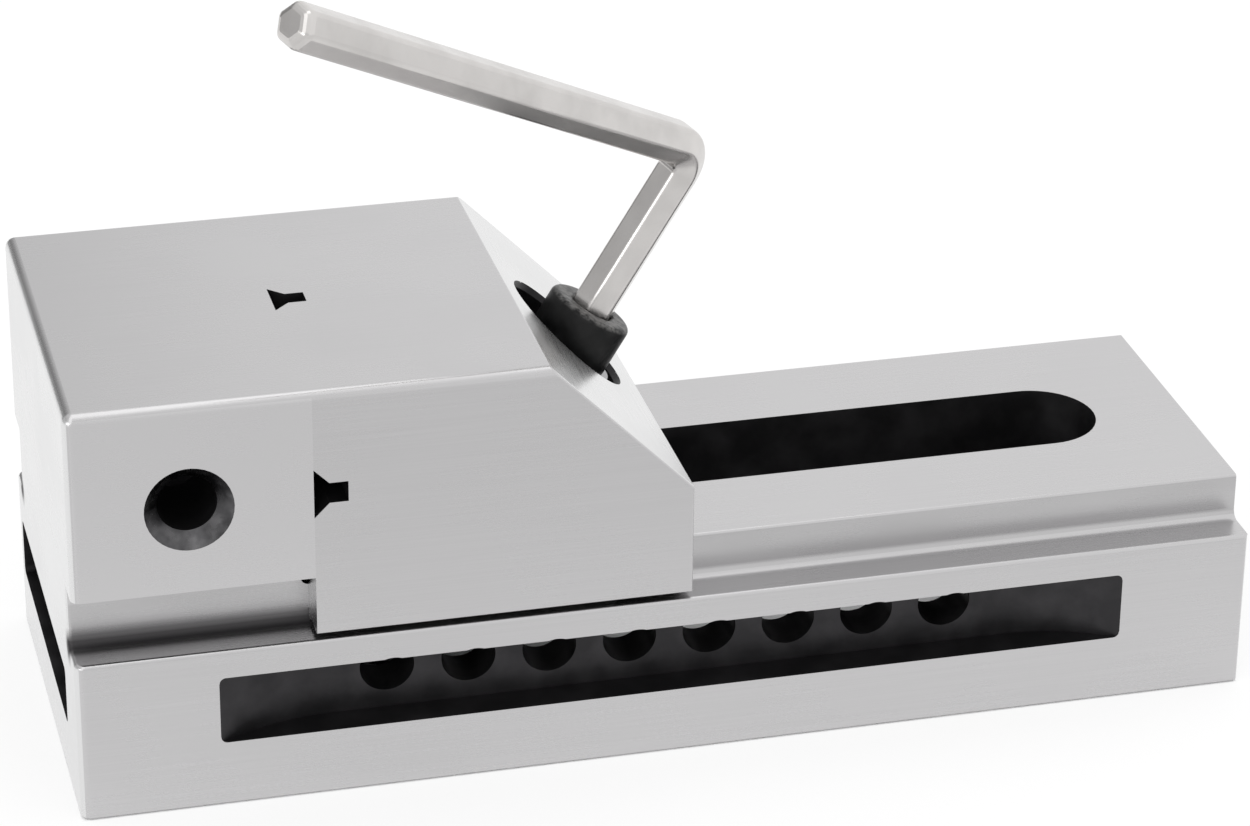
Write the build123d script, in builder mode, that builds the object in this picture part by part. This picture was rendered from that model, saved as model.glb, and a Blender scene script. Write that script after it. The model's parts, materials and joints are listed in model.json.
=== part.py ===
# A toolmakers vise: a ground steel body with a fixed jaw, a sliding jaw over its rail, and a socket
# cap screw that leans through the sliding jaw and draws it down and forward from a cross nut, which
# hooks into one of eight notches under the rail. A hexagon key stands in the screw's head.
# Origin: centre of the base's underside. +X runs away from the fixed jaw, +Z is up. Millimetres.
import os
from math import atan2, cos, degrees, hypot, pi, radians, sin, sqrt, tan

from build123d import *

# Body
BODY_LENGTH = 175.0
BODY_WIDTH = 63.0
FLANGE_HEIGHT = 25.0
RAIL_TOP = 32.0
RAIL_INSET = 6.25
FOOT_FILLET = 1.5
JAW_TOP = 64.0
FIXED_JAW_LENGTH = 34.5
OVERHANG_Z = 35.1
JAW_EDGE_R = 1.5
FLANGE_EDGE_R = 0.6
RAIL_EDGE_R = 0.5
ROOT_RELIEF_R = 1.1

# Channel under the rail, and the slot above it
DECK_UNDERSIDE = 16.9
CHANNEL_HALF_WIDTH = 19.1
CHANNEL_START = 1.5
CHANNEL_END_WALL = 9.0
CHANNEL_CORNER_R = 4.0
SLOT_WIDTH = 18.4
SLOT_START = 0.5
SLOT_END_WALL = 13.7

# Cross holes that leave the notches
NOTCH_DIAMETER = 8.0
NOTCH_PITCH = 12.0
NOTCH_COUNT = 8
NOTCH_FIRST = 10.9
NOTCH_CHAMFER = 0.5

# Clamping windows
WINDOW_DEPTH = 5.0
WINDOW_FLOOR = 10.2
WINDOW_CEILING = 20.7
WINDOW_START = 20.3
WINDOW_END_WALL = 19.5
WINDOW_CUTTER_R = 31.5
END_SLOT_DEPTH = 7.0
END_SLOT_FLOOR = 9.4
END_SLOT_CEILING = 18.3
END_SLOT_START = 11.8
END_SLOT_WALL = 3.5
WINDOW_CORNER_R = 1.0

# Tapped hole for a work stop, in the fixed jaw's near side
STOP_HOLE_R = 4.25
STOP_HOLE_MOUTH_R = 6.35
STOP_HOLE_DEPTH = 16.0
STOP_HOLE_FROM_FACE = 17.5
STOP_HOLE_Z = 48.0

# Moving jaw
MOVING_JAW_LENGTH = 55.0
MOVING_TOP_LENGTH = 34.0
BACK_SLOPE_DEG = 45.0
SLOPE_EDGE_R = 0.4
SKIRT_GAP = 1.0
SIDE_GAP = 0.05
SKIRT_CHAMFER = 1.2
CORNER_RELIEF_R = 0.8
GROOVE_MOUTH = 7.5
GROOVE_NECK = 3.1
GROOVE_DEPTH = 4.9
GROOVE_Z = 48.3

# Screw, washer and their seat in the sloping back
SEAT_FROM_TOP_EDGE = 13.93
SEAT_DIAMETER = 20.7
PIVOT_RISE = 5.3
SEAT_BELOW_PIVOT = 9.0
REST_LEAN_DEG = 31.7
WASHER_BALL_R = 12.0
WASHER_DIAMETER = 15.0
WASHER_BORE = 9.0
BALL_GAP = 0.05
HEAD_GAP = 0.05
HEAD_DIAMETER = 13.0
HEAD_HEIGHT = 8.0
HEAD_CHAMFER = 0.8
SHANK_DIAMETER = 8.0
SHANK_LENGTH = 55.0
SHANK_POINT = 0.9
SOCKET_DEPTH = 4.5
SWING_SLOT_WIDTH = 9.5
SWING_SLOT_MARGIN = 0.6

# Draw nut
NUT_BOSS_DIAMETER = 11.0
NUT_BOSS_LENGTH = 12.0
NUT_BORE_GAP = 0.05
TRUNNION_DIAMETER = 6.0
TRUNNION_END_GAP = 0.3
TRUNNION_CHAMFER = 0.6
NOTCH_CONTACT_GAP = 0.1
THREAD_PITCH = 1.25
NUT_TURNS = 5

# Hexagon key
KEY_FLATS = 6.0
SOCKET_GAP = 0.05
KEY_RISE = 28.2
KEY_IN_SOCKET = 4.0
KEY_ARM = 89.0
KEY_BEND_R = 4.4
KEY_TURN_DEG = 28.4
KEY_END_CHAMFER = 0.7

LOWER_MIDDLE = (Align.CENTER, Align.MIN)
LEFT_MIDDLE = (Align.MIN, Align.CENTER)

# Places worked out from the sizes above
LEFT = -BODY_LENGTH / 2
RIGHT = BODY_LENGTH / 2
HALF_WIDTH = BODY_WIDTH / 2
RAIL_HALF_WIDTH = HALF_WIDTH - RAIL_INSET
JAW_FACE = LEFT + FIXED_JAW_LENGTH
MOVING_BACK = JAW_FACE + MOVING_JAW_LENGTH
TOP_EDGE = JAW_FACE + MOVING_TOP_LENGTH
SLOPE_RUN = MOVING_BACK - TOP_EDGE
BACK_TOP = JAW_TOP - SLOPE_RUN * tan(radians(BACK_SLOPE_DEG))
NOTCH_R = NOTCH_DIAMETER / 2
NOTCH_X = JAW_FACE + NOTCH_FIRST
NOTCH_ROW_MIDDLE = NOTCH_X + NOTCH_PITCH * (NOTCH_COUNT - 1) / 2
CHANNEL_LEFT = JAW_FACE + CHANNEL_START
CHANNEL_RIGHT = RIGHT - CHANNEL_END_WALL
SLOT_LEFT = JAW_FACE + SLOT_START
SLOT_RIGHT = RIGHT - SLOT_END_WALL

slope = radians(BACK_SLOPE_DEG)
SLOPE_NORMAL = Vector(sin(slope), 0, cos(slope))
SLOPE_DOWN = Vector(cos(slope), 0, -sin(slope))
SEAT_CENTRE = Vector(TOP_EDGE, 0, JAW_TOP) + SLOPE_DOWN * SEAT_FROM_TOP_EDGE
PIVOT = SEAT_CENTRE + SLOPE_NORMAL * PIVOT_RISE
seat_plane = Plane(origin=PIVOT - SLOPE_NORMAL * SEAT_BELOW_PIVOT, x_dir=(0, 1, 0), z_dir=SLOPE_NORMAL)

# The screw leans to reach the first notch when the jaw is shut
notch_run = PIVOT.X - NOTCH_X
notch_drop = PIVOT.Z - DECK_UNDERSIDE
ENGAGED_LEAN_DEG = degrees(atan2(notch_run, notch_drop))
TRUNNION_R = TRUNNION_DIAMETER / 2
NUT_NEAREST = hypot(notch_run, notch_drop) - (NOTCH_R - TRUNNION_R - NOTCH_CONTACT_GAP)
NUT_REST = NUT_NEAREST + NUT_TURNS * THREAD_PITCH


def lean_axis(lean_deg):
    """Direction of the screw, up and out of its head, at a lean from upright."""
    lean = radians(lean_deg)
    return Vector(sin(lean), 0, cos(lean))


SCREW_AXIS = lean_axis(REST_LEAN_DEG)
screw_plane = Plane(origin=PIVOT, x_dir=(0, 1, 0), z_dir=SCREW_AXIS)
washer_top = HEAD_HEIGHT + HEAD_GAP

# The key's arm points back over the jaw, turned a little towards the near side
up_slope = Vector(-SCREW_AXIS.Z, 0, SCREW_AXIS.X)
key_turn = radians(KEY_TURN_DEG)
ARM_AXIS = up_slope * cos(key_turn) + Vector(0, -1, 0) * sin(key_turn)

# Cutter for the near window: its ends run out in an arc seen from above, as a disc cuts them, and
# its corners are round seen from the front
window_left = LEFT + WINDOW_START
window_right = RIGHT - WINDOW_END_WALL
window_wall = HALF_WIDTH - WINDOW_DEPTH
arc_run = sqrt(WINDOW_CUTTER_R**2 - (WINDOW_CUTTER_R - WINDOW_DEPTH) ** 2)
with BuildPart() as window_cutter:
    with BuildSketch(Plane.XY.offset(WINDOW_FLOOR)):
        with BuildLine():
            left_mouth = (window_left, -HALF_WIDTH)
            left_deep = (window_left + arc_run, -window_wall)
            right_deep = (window_right - arc_run, -window_wall)
            right_mouth = (window_right, -HALF_WIDTH)
            Line(left_mouth, right_mouth)
            RadiusArc(right_mouth, right_deep, -WINDOW_CUTTER_R)
            Line(right_deep, left_deep)
            RadiusArc(left_deep, left_mouth, -WINDOW_CUTTER_R)
        make_face()
    extrude(amount=WINDOW_CEILING - WINDOW_FLOOR)
    with BuildSketch(Plane.XZ.offset(window_wall)):
        with Locations(((window_left + window_right) / 2, (WINDOW_FLOOR + WINDOW_CEILING) / 2)):
            RectangleRounded(window_right - window_left, WINDOW_CEILING - WINDOW_FLOOR, WINDOW_CORNER_R)
    extrude(amount=WINDOW_DEPTH, mode=Mode.INTERSECT)

# Body: one block, ground all over
with BuildPart() as vise_body:
    with BuildSketch(Plane.YZ.offset(LEFT)) as section:
        Rectangle(BODY_WIDTH, FLANGE_HEIGHT, align=LOWER_MIDDLE)
        with Locations((0, FLANGE_HEIGHT)):
            Rectangle(2 * RAIL_HALF_WIDTH, RAIL_TOP - FLANGE_HEIGHT, align=LOWER_MIDDLE)
        feet = section.vertices().group_by(Axis.Y)[1].sort_by(Axis.X)
        fillet([v for v in feet if abs(v.X) < HALF_WIDTH - RAIL_INSET / 2], FOOT_FILLET)
    extrude(amount=BODY_LENGTH)

    # Fixed jaw: a neck as wide as the rail, then full width
    with BuildSketch(Plane.XY.offset(RAIL_TOP)):
        with Locations((LEFT, 0)):
            Rectangle(FIXED_JAW_LENGTH, 2 * RAIL_HALF_WIDTH, align=LEFT_MIDDLE)
    extrude(amount=OVERHANG_Z - RAIL_TOP)
    with BuildSketch(Plane.XY.offset(OVERHANG_Z)):
        with Locations((LEFT, 0)):
            Rectangle(FIXED_JAW_LENGTH, BODY_WIDTH, align=LEFT_MIDDLE)
    extrude(amount=JAW_TOP - OVERHANG_Z)

    # Rounded edges: the left end's corners, the rail, the flange and base, then the fixed jaw's top
    left_corners = vise_body.edges().filter_by(Axis.Z).filter_by(
        lambda e: e.center().X < LEFT + 0.01 and abs(abs(e.center().Y) - HALF_WIDTH) < 0.01
        and e.center().Z < FLANGE_HEIGHT)
    fillet(left_corners, JAW_EDGE_R)
    rail_edges = vise_body.edges().filter_by(Axis.X).filter_by(
        lambda e: abs(e.center().Z - RAIL_TOP) < 0.01)
    fillet(rail_edges, RAIL_EDGE_R)
    flange_edges = vise_body.edges().filter_by(
        lambda e: abs(abs(e.center().Y) - HALF_WIDTH) < 0.01 and e.center().Z < FLANGE_HEIGHT + 0.01)
    base_ends = vise_body.edges().filter_by(Axis.Y).group_by(Axis.Z)[0]
    fillet(flange_edges + base_ends, FLANGE_EDGE_R)
    jaw_edges = vise_body.edges().filter_by(
        lambda e: abs(abs(e.center().Y) - HALF_WIDTH) < 0.01 and e.center().Z > OVERHANG_Z + 0.01
        and e.center().X < JAW_FACE - 0.01)
    left_top = vise_body.edges().filter_by(Axis.Y).group_by(Axis.Z)[-1].sort_by(Axis.X)[0]
    fillet(jaw_edges + [left_top], JAW_EDGE_R)

    # Ground relief at the fixed jaw's root
    with BuildSketch(Plane.XZ.offset(-HALF_WIDTH)):
        with Locations((JAW_FACE, RAIL_TOP)):
            Circle(ROOT_RELIEF_R)
    extrude(amount=BODY_WIDTH, mode=Mode.SUBTRACT)

    # Channel milled from below
    with BuildSketch(Plane.XY):
        with Locations(((CHANNEL_LEFT + CHANNEL_RIGHT) / 2, 0)):
            RectangleRounded(CHANNEL_RIGHT - CHANNEL_LEFT, 2 * CHANNEL_HALF_WIDTH, CHANNEL_CORNER_R)
    extrude(amount=DECK_UNDERSIDE, mode=Mode.SUBTRACT)

    # Slot through the rail's deck, with round ends
    with BuildSketch(Plane.XY.offset(DECK_UNDERSIDE)):
        with Locations(((SLOT_LEFT + SLOT_RIGHT) / 2, 0)):
            SlotOverall(SLOT_RIGHT - SLOT_LEFT, SLOT_WIDTH)
    extrude(amount=RAIL_TOP - DECK_UNDERSIDE, mode=Mode.SUBTRACT)

    # Cross holes: their upper halves stay in the deck as notches for the nut's trunnions
    with BuildSketch(Plane.XZ.offset(-HALF_WIDTH)):
        with Locations((NOTCH_ROW_MIDDLE, DECK_UNDERSIDE)):
            with GridLocations(NOTCH_PITCH, 1, NOTCH_COUNT, 1):
                Circle(NOTCH_R)
    extrude(amount=BODY_WIDTH, mode=Mode.SUBTRACT)
    with BuildSketch(Plane.XZ.offset(-CHANNEL_HALF_WIDTH)):
        with Locations((NOTCH_ROW_MIDDLE, DECK_UNDERSIDE)):
            with GridLocations(NOTCH_PITCH, 1, NOTCH_COUNT, 1):
                Trapezoid(NOTCH_DIAMETER + 2 * NOTCH_CHAMFER, NOTCH_CHAMFER, 45, align=LOWER_MIDDLE)
    extrude(amount=2 * CHANNEL_HALF_WIDTH, mode=Mode.SUBTRACT)

    # Clamping windows, one in each side
    add(window_cutter.part, mode=Mode.SUBTRACT)
    mirror(window_cutter.part, about=Plane.XZ, mode=Mode.SUBTRACT)

    # Clamping slot in the left end
    with BuildSketch(Plane.YZ.offset(LEFT)):
        near = -HALF_WIDTH + END_SLOT_START
        far = HALF_WIDTH - END_SLOT_WALL
        with Locations(((near + far) / 2, (END_SLOT_FLOOR + END_SLOT_CEILING) / 2)):
            RectangleRounded(far - near, END_SLOT_CEILING - END_SLOT_FLOOR, WINDOW_CORNER_R)
    extrude(amount=END_SLOT_DEPTH, mode=Mode.SUBTRACT)

    # Countersunk tapped hole for a work stop
    stop_plane = Plane(origin=(JAW_FACE - STOP_HOLE_FROM_FACE, -HALF_WIDTH, STOP_HOLE_Z),
                       x_dir=(1, 0, 0), z_dir=(0, -1, 0))
    with Locations(stop_plane):
        CounterSinkHole(STOP_HOLE_R, STOP_HOLE_MOUTH_R, STOP_HOLE_DEPTH, 90)
vise_body.part.label = "vise_body"

# Moving jaw: slides on the rail, its skirts beside it
with BuildPart() as moving_jaw:
    skirt_bottom = FLANGE_HEIGHT + SKIRT_GAP
    tilt = 1 / tan(radians(BACK_SLOPE_DEG))
    with BuildSketch(Plane.XZ.offset(-HALF_WIDTH)):
        with BuildLine():
            Polyline((JAW_FACE, skirt_bottom), (JAW_FACE, JAW_TOP), (TOP_EDGE, JAW_TOP),
                     (MOVING_BACK, BACK_TOP), (MOVING_BACK, skirt_bottom), close=True)
        make_face()
    extrude(amount=BODY_WIDTH)
    fillet(moving_jaw.edges().filter_by(Axis.X).group_by(Axis.Z)[-1], JAW_EDGE_R)
    round_slope = moving_jaw.edges().filter_by(
        lambda e: abs(e.center().X + e.center().Z * tilt - TOP_EDGE - JAW_TOP * tilt) < 0.01)
    skirt_edges = moving_jaw.edges().filter_by(
        lambda e: abs(abs(e.center().Y) - HALF_WIDTH) < 0.01
        and (abs(e.center().X - MOVING_BACK) < 0.01 or abs(e.center().Z - skirt_bottom) < 0.01))
    fillet(round_slope + skirt_edges, SLOPE_EDGE_R)

    # Room for the rail, with relieved corners and eased lower edges
    rail_room = RAIL_HALF_WIDTH + SIDE_GAP
    with BuildSketch(Plane.YZ.offset(JAW_FACE)):
        with Locations((0, skirt_bottom)):
            Rectangle(2 * rail_room, RAIL_TOP - skirt_bottom, align=LOWER_MIDDLE)
            Trapezoid(2 * (rail_room + SKIRT_CHAMFER), SKIRT_CHAMFER, 45, align=LOWER_MIDDLE)
        with Locations((-rail_room, RAIL_TOP), (rail_room, RAIL_TOP)):
            Circle(CORNER_RELIEF_R)
    extrude(amount=MOVING_JAW_LENGTH, mode=Mode.SUBTRACT)

    # Crossed V grooves in the face, each running into a relief slot
    groove_flank = (GROOVE_MOUTH - GROOVE_NECK) / 2
    with BuildSketch(Plane.XZ.offset(-HALF_WIDTH)):
        with BuildLine():
            Polyline((JAW_FACE, GROOVE_Z - GROOVE_MOUTH / 2),
                     (JAW_FACE + groove_flank, GROOVE_Z - GROOVE_NECK / 2),
                     (JAW_FACE + GROOVE_DEPTH, GROOVE_Z - GROOVE_NECK / 2),
                     (JAW_FACE + GROOVE_DEPTH, GROOVE_Z + GROOVE_NECK / 2),
                     (JAW_FACE + groove_flank, GROOVE_Z + GROOVE_NECK / 2),
                     (JAW_FACE, GROOVE_Z + GROOVE_MOUTH / 2), close=True)
        make_face()
    extrude(amount=BODY_WIDTH, mode=Mode.SUBTRACT)
    with BuildSketch(Plane.XY.offset(RAIL_TOP)):
        with BuildLine():
            Polyline((JAW_FACE, -GROOVE_MOUTH / 2),
                     (JAW_FACE + groove_flank, -GROOVE_NECK / 2),
                     (JAW_FACE + GROOVE_DEPTH, -GROOVE_NECK / 2),
                     (JAW_FACE + GROOVE_DEPTH, GROOVE_NECK / 2),
                     (JAW_FACE + groove_flank, GROOVE_NECK / 2),
                     (JAW_FACE, GROOVE_MOUTH / 2), close=True)
        make_face()
    extrude(amount=JAW_TOP - RAIL_TOP, mode=Mode.SUBTRACT)

    # Seat for the washer: a counterbore square to the slope, with a ball cup in its floor
    with BuildSketch(seat_plane):
        Circle(SEAT_DIAMETER / 2)
    extrude(amount=SEAT_BELOW_PIVOT, mode=Mode.SUBTRACT)
    with Locations(Plane(PIVOT)):
        Sphere(WASHER_BALL_R + BALL_GAP, mode=Mode.SUBTRACT)

    # Fan-shaped slot in which the screw swings
    with BuildSketch(Plane.XZ.offset(-SWING_SLOT_WIDTH / 2)):
        with BuildLine():
            half = SHANK_DIAMETER / 2 + SWING_SLOT_MARGIN
            steep = lean_axis(REST_LEAN_DEG)
            flat = lean_axis(ENGAGED_LEAN_DEG)
            reach_steep = (PIVOT.Z - skirt_bottom) / steep.Z
            reach_flat = (PIVOT.Z - skirt_bottom) / flat.Z
            right_top = (PIVOT.X + half * steep.Z, PIVOT.Z - half * steep.X)
            left_top = (PIVOT.X - half * flat.Z, PIVOT.Z + half * flat.X)
            right_foot = (right_top[0] - steep.X * reach_steep, right_top[1] - steep.Z * reach_steep)
            left_foot = (left_top[0] - flat.X * reach_flat, left_top[1] - flat.Z * reach_flat)
            Polyline(left_top, right_top, right_foot, left_foot, close=True)
        make_face()
    extrude(amount=SWING_SLOT_WIDTH, mode=Mode.SUBTRACT)
moving_jaw.part.label = "moving_jaw"

# Ball-faced washer, square to the screw
with BuildPart() as spherical_washer:
    with Locations(Plane(PIVOT)):
        Sphere(WASHER_BALL_R)
    with BuildSketch(screw_plane.offset(-washer_top)):
        Circle(WASHER_DIAMETER / 2)
    extrude(amount=-WASHER_BALL_R, mode=Mode.INTERSECT)
    with BuildSketch(screw_plane.offset(-washer_top)):
        Circle(WASHER_BORE / 2)
    extrude(amount=-WASHER_BALL_R, mode=Mode.SUBTRACT)
spherical_washer.part.label = "spherical_washer"

# Socket cap screw
with BuildPart() as clamp_screw:
    with BuildSketch(screw_plane):
        Circle(HEAD_DIAMETER / 2)
    extrude(amount=-HEAD_HEIGHT)
    screw_line = Axis(PIVOT, SCREW_AXIS)
    chamfer(clamp_screw.edges().sort_by(screw_line)[-1], HEAD_CHAMFER)
    with BuildSketch(screw_plane.offset(-HEAD_HEIGHT)):
        Circle(SHANK_DIAMETER / 2)
    extrude(amount=-SHANK_LENGTH)
    chamfer(clamp_screw.edges().sort_by(screw_line)[0], SHANK_POINT)
    with BuildSketch(Plane(origin=PIVOT, x_dir=ARM_AXIS, z_dir=SCREW_AXIS)):
        RegularPolygon(KEY_FLATS / 2 + SOCKET_GAP, 6, major_radius=False, rotation=30)
    extrude(amount=-SOCKET_DEPTH, mode=Mode.SUBTRACT)
clamp_screw.part.label = "clamp_screw"

# Draw nut: a round cross boss on the screw, with a trunnion on each side
NUT_CENTRE = PIVOT - SCREW_AXIS * NUT_REST
trunnion_half = CHANNEL_HALF_WIDTH - TRUNNION_END_GAP
with BuildPart() as draw_nut:
    nut_plane = Plane(origin=NUT_CENTRE, x_dir=(1, 0, 0), z_dir=(0, -1, 0))
    with BuildSketch(nut_plane):
        Circle(NUT_BOSS_DIAMETER / 2)
    extrude(amount=NUT_BOSS_LENGTH / 2, both=True)
    with BuildSketch(nut_plane):
        Circle(TRUNNION_R)
    extrude(amount=trunnion_half, both=True)
    tips = draw_nut.edges().filter_by(lambda e: abs(abs(e.center().Y) - trunnion_half) < 0.01)
    chamfer(tips, TRUNNION_CHAMFER)
    with BuildSketch(Plane(origin=NUT_CENTRE, x_dir=(0, 1, 0), z_dir=SCREW_AXIS)):
        Circle(SHANK_DIAMETER / 2 + NUT_BORE_GAP)
    extrude(amount=NUT_BOSS_DIAMETER, both=True, mode=Mode.SUBTRACT)
draw_nut.part.label = "draw_nut"

# Hexagon key: swept along its two legs and the bend between them
KEY_TOE = PIVOT - SCREW_AXIS * KEY_IN_SOCKET
KEY_CORNER = PIVOT + SCREW_AXIS * KEY_RISE
KEY_TIP = KEY_CORNER + ARM_AXIS * KEY_ARM
with BuildPart() as hex_key:
    with BuildLine():
        FilletPolyline(KEY_TOE, KEY_CORNER, KEY_TIP, radius=KEY_BEND_R)
    with BuildSketch(Plane(origin=KEY_TOE, x_dir=ARM_AXIS, z_dir=SCREW_AXIS)):
        RegularPolygon(KEY_FLATS / 2, 6, major_radius=False, rotation=30)
    sweep()
    key_ends = hex_key.faces().sort_by(Axis(KEY_CORNER, ARM_AXIS))[-1].edges()
    chamfer(key_ends, KEY_END_CHAMFER)
hex_key.part.label = "hex_key"

os.makedirs("parts", exist_ok=True)
for piece in (vise_body, moving_jaw, spherical_washer, clamp_screw, draw_nut, hex_key):
    export_step(piece.part, f"parts/{piece.part.label}.step")

# Values that the joints take
print("lean pivot", PIVOT, "lean range", round(ENGAGED_LEAN_DEG - REST_LEAN_DEG, 3))
print("screw axis", SCREW_AXIS, "nut travel in millimetres a radian", THREAD_PITCH / (2 * pi))
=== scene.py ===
# %% [markdown]
# A toolmakers vise, dressed for its picture.
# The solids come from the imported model: the body, the sliding jaw, the ball washer, the clamp
# screw, its nut and the hexagon key. Blender gives them their finishes, and it makes again the
# two pieces whose small shapes matter most up close: the key and the threaded screw.
# Everything is in metres, and it sits where the solids sit.

import json
import math

import bmesh
import bpy
from mathutils import Matrix, Vector


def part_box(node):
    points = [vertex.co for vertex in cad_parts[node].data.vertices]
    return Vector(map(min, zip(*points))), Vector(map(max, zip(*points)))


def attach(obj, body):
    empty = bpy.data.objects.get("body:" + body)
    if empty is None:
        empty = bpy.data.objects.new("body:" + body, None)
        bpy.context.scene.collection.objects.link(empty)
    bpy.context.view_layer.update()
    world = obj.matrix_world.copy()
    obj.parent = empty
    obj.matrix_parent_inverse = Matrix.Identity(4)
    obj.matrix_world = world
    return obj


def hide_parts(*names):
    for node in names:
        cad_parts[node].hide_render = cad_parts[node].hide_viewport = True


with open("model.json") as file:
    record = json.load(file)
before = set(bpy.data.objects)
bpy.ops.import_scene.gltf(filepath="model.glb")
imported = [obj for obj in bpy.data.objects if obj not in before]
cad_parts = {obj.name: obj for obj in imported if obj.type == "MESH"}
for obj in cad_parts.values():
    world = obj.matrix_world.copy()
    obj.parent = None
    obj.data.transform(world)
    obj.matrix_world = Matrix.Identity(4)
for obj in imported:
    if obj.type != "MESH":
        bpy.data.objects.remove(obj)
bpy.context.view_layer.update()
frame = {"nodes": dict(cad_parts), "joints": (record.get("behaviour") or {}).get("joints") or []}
solids = frame["nodes"]
joints = {joint["name"]: joint for joint in frame["joints"]}

MM = 0.001
print("solids:", sorted(solids))

# %% [markdown]
# The screw leans, so nothing on it lines up with X, Y or Z. Its turning joint already holds the
# two facts that are needed: the centre of the ball seat, and the direction of the axis. A small
# set of three directions on that axis then places the screw and the key.

# %% Find the screw's axis
BALL_CENTRE = Vector(joints["screw_turn"]["pos_m"])
UP_SCREW = -Vector(joints["screw_turn"]["axis"]).normalized()
UP_SLOPE = Vector((-UP_SCREW.z, 0, UP_SCREW.x))
KEY_TURN = math.radians(28.4)
ALONG_ARM = UP_SLOPE * math.cos(KEY_TURN) + Vector((0, -1, 0)) * math.sin(KEY_TURN)
ACROSS_ARM = UP_SCREW.cross(ALONG_ARM)
print("lean from upright:", round(math.degrees(math.acos(UP_SCREW.z)), 1), "degrees")


def on_screw_axis():
    """The matrix that stands a shape made on Z upon the screw's axis, with X along the key's arm."""
    turn = Matrix((ALONG_ARM, ACROSS_ARM, UP_SCREW)).transposed()
    return Matrix.Translation(BALL_CENTRE) @ turn.to_4x4()


# %% [markdown]
# The photograph was taken with a long lens, a little above the vise and to the left of its
# middle. The eye and the direction were solved from the vise's corners, so the render can be laid
# over the photograph. A roll of 0.6 degrees levels it the same way.

# %% Set up the camera
LENS_MM = 127.42
EYE = Vector((-0.14845, -0.57182, 0.33088))
SIGHT_LINE = Vector((0.22504, 0.86841, -0.44184))
ROLL = math.radians(0.612)

view_camera = bpy.data.cameras.new("view_camera")
view_camera.lens = LENS_MM
view_camera.clip_start = 0.02
view_camera.clip_end = 20
camera = bpy.data.objects.new("view_camera", view_camera)
bpy.context.scene.collection.objects.link(camera)
level = SIGHT_LINE.to_track_quat("-Z", "Y").to_matrix().to_4x4()
camera.matrix_world = Matrix.Translation(EYE) @ level @ Matrix.Rotation(ROLL, 4, "Z")
bpy.context.scene.camera = camera
print("camera at", [round(x, 3) for x in camera.location])

# %% [markdown]
# Every finish below is a small net of nodes. A few helpers keep the nets readable: they add a node
# and set its sockets by name, do one sum, stretch a pattern over a new range, blend two colours, or
# start a material with a Principled shader. A plain number goes straight on the shader, and only
# what varies over the surface is wired to it. Noise lies mostly between 0.3 and 0.7, so a pattern
# is stretched from about there. The trees of Geometry Nodes further down use the same helpers.

# %% Helpers for nodes


def add_step(tree, kind, **sockets):
    """Adds a node. A keyword names a property of the node, or an input with underscores for spaces."""
    node = tree.nodes.new(kind)
    for name, value in sockets.items():
        if hasattr(node, name):
            setattr(node, name, value)
        else:
            put(tree, value, node.inputs[name.replace("_", " ")])
    return node


def add_node(tree, kind, **sockets):
    """Adds a shader node, called by its name without the ShaderNode that they all start with."""
    return add_step(tree, "ShaderNode" + kind, **sockets)


def put(tree, value, socket):
    """Wires an output to a socket, or sets the socket to a plain value."""
    if isinstance(value, bpy.types.NodeSocket):
        tree.links.new(value, socket)
    else:
        socket.default_value = value


def new_finish(name, colour, metallic, roughness):
    """Starts a finish and returns it with its tree, its shader and the surface's own coordinates."""
    finish = bpy.data.materials.new(name)
    finish.use_nodes = True
    finish.diffuse_color = (*colour, 1)
    tree = finish.node_tree
    tree.nodes.clear()
    shader = add_node(tree, "BsdfPrincipled", Base_Color=(*colour, 1))
    shader.inputs["Metallic"].default_value = metallic
    shader.inputs["Roughness"].default_value = roughness
    output = tree.nodes.new("ShaderNodeOutputMaterial")
    tree.links.new(shader.outputs["BSDF"], output.inputs["Surface"])
    place = add_node(tree, "TexCoord")
    return finish, tree, shader, place


def math_node(tree, operation, first, second=0.0):
    """One sum on two values or outputs."""
    node = add_node(tree, "Math", operation=operation)
    put(tree, first, node.inputs[0])
    put(tree, second, node.inputs[1])
    return node.outputs[0]


def spread(tree, value, low, high, to_low=0.0, to_high=1.0):
    """Stretches the part of a pattern between low and high over a new range, and clips the rest."""
    node = add_node(tree, "MapRange", Value=value)
    for name, number in (("From Min", low), ("From Max", high), ("To Min", to_low), ("To Max", to_high)):
        node.inputs[name].default_value = number
    return node.outputs[0]


def grain(tree, place, per_metre, detail=2.0, roughness=0.5):
    """Noise with its own frequency along each axis, so that it can be drawn out into scratches."""
    stretched = add_node(tree, "Mapping", Vector=place, Scale=per_metre)
    noise = add_node(tree, "TexNoise", Vector=stretched.outputs[0], Scale=1.0, Detail=detail)
    noise.inputs["Roughness"].default_value = roughness
    return noise.outputs["Fac"]


def tint(tree, factor, first, second):
    """Blends two colours, or the outputs that carry them, by a pattern."""
    node = add_node(tree, "Mix", data_type="RGBA")
    put(tree, factor, node.inputs["Factor"])
    for colour, socket in ((first, node.inputs["A"]), (second, node.inputs["B"])):
        put(tree, (*colour, 1) if isinstance(colour, tuple) else colour, socket)
    return node.outputs["Result"]


def dimmed(colour, share):
    """A colour with each of its parts multiplied by a share."""
    return tuple(share * part for part in colour)


def edge_mask(tree, radius):
    """1 close to an edge and 0 on a flat: how far a rounded normal turns from the true one."""
    rounded = add_node(tree, "Bevel", samples=4, Radius=radius)
    true = add_node(tree, "NewGeometry")
    agree = add_node(tree, "VectorMath", operation="DOT_PRODUCT")
    tree.links.new(rounded.outputs[0], agree.inputs[0])
    tree.links.new(true.outputs["Normal"], agree.inputs[1])
    return spread(tree, agree.outputs["Value"], 0.99, 0.9)


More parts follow.
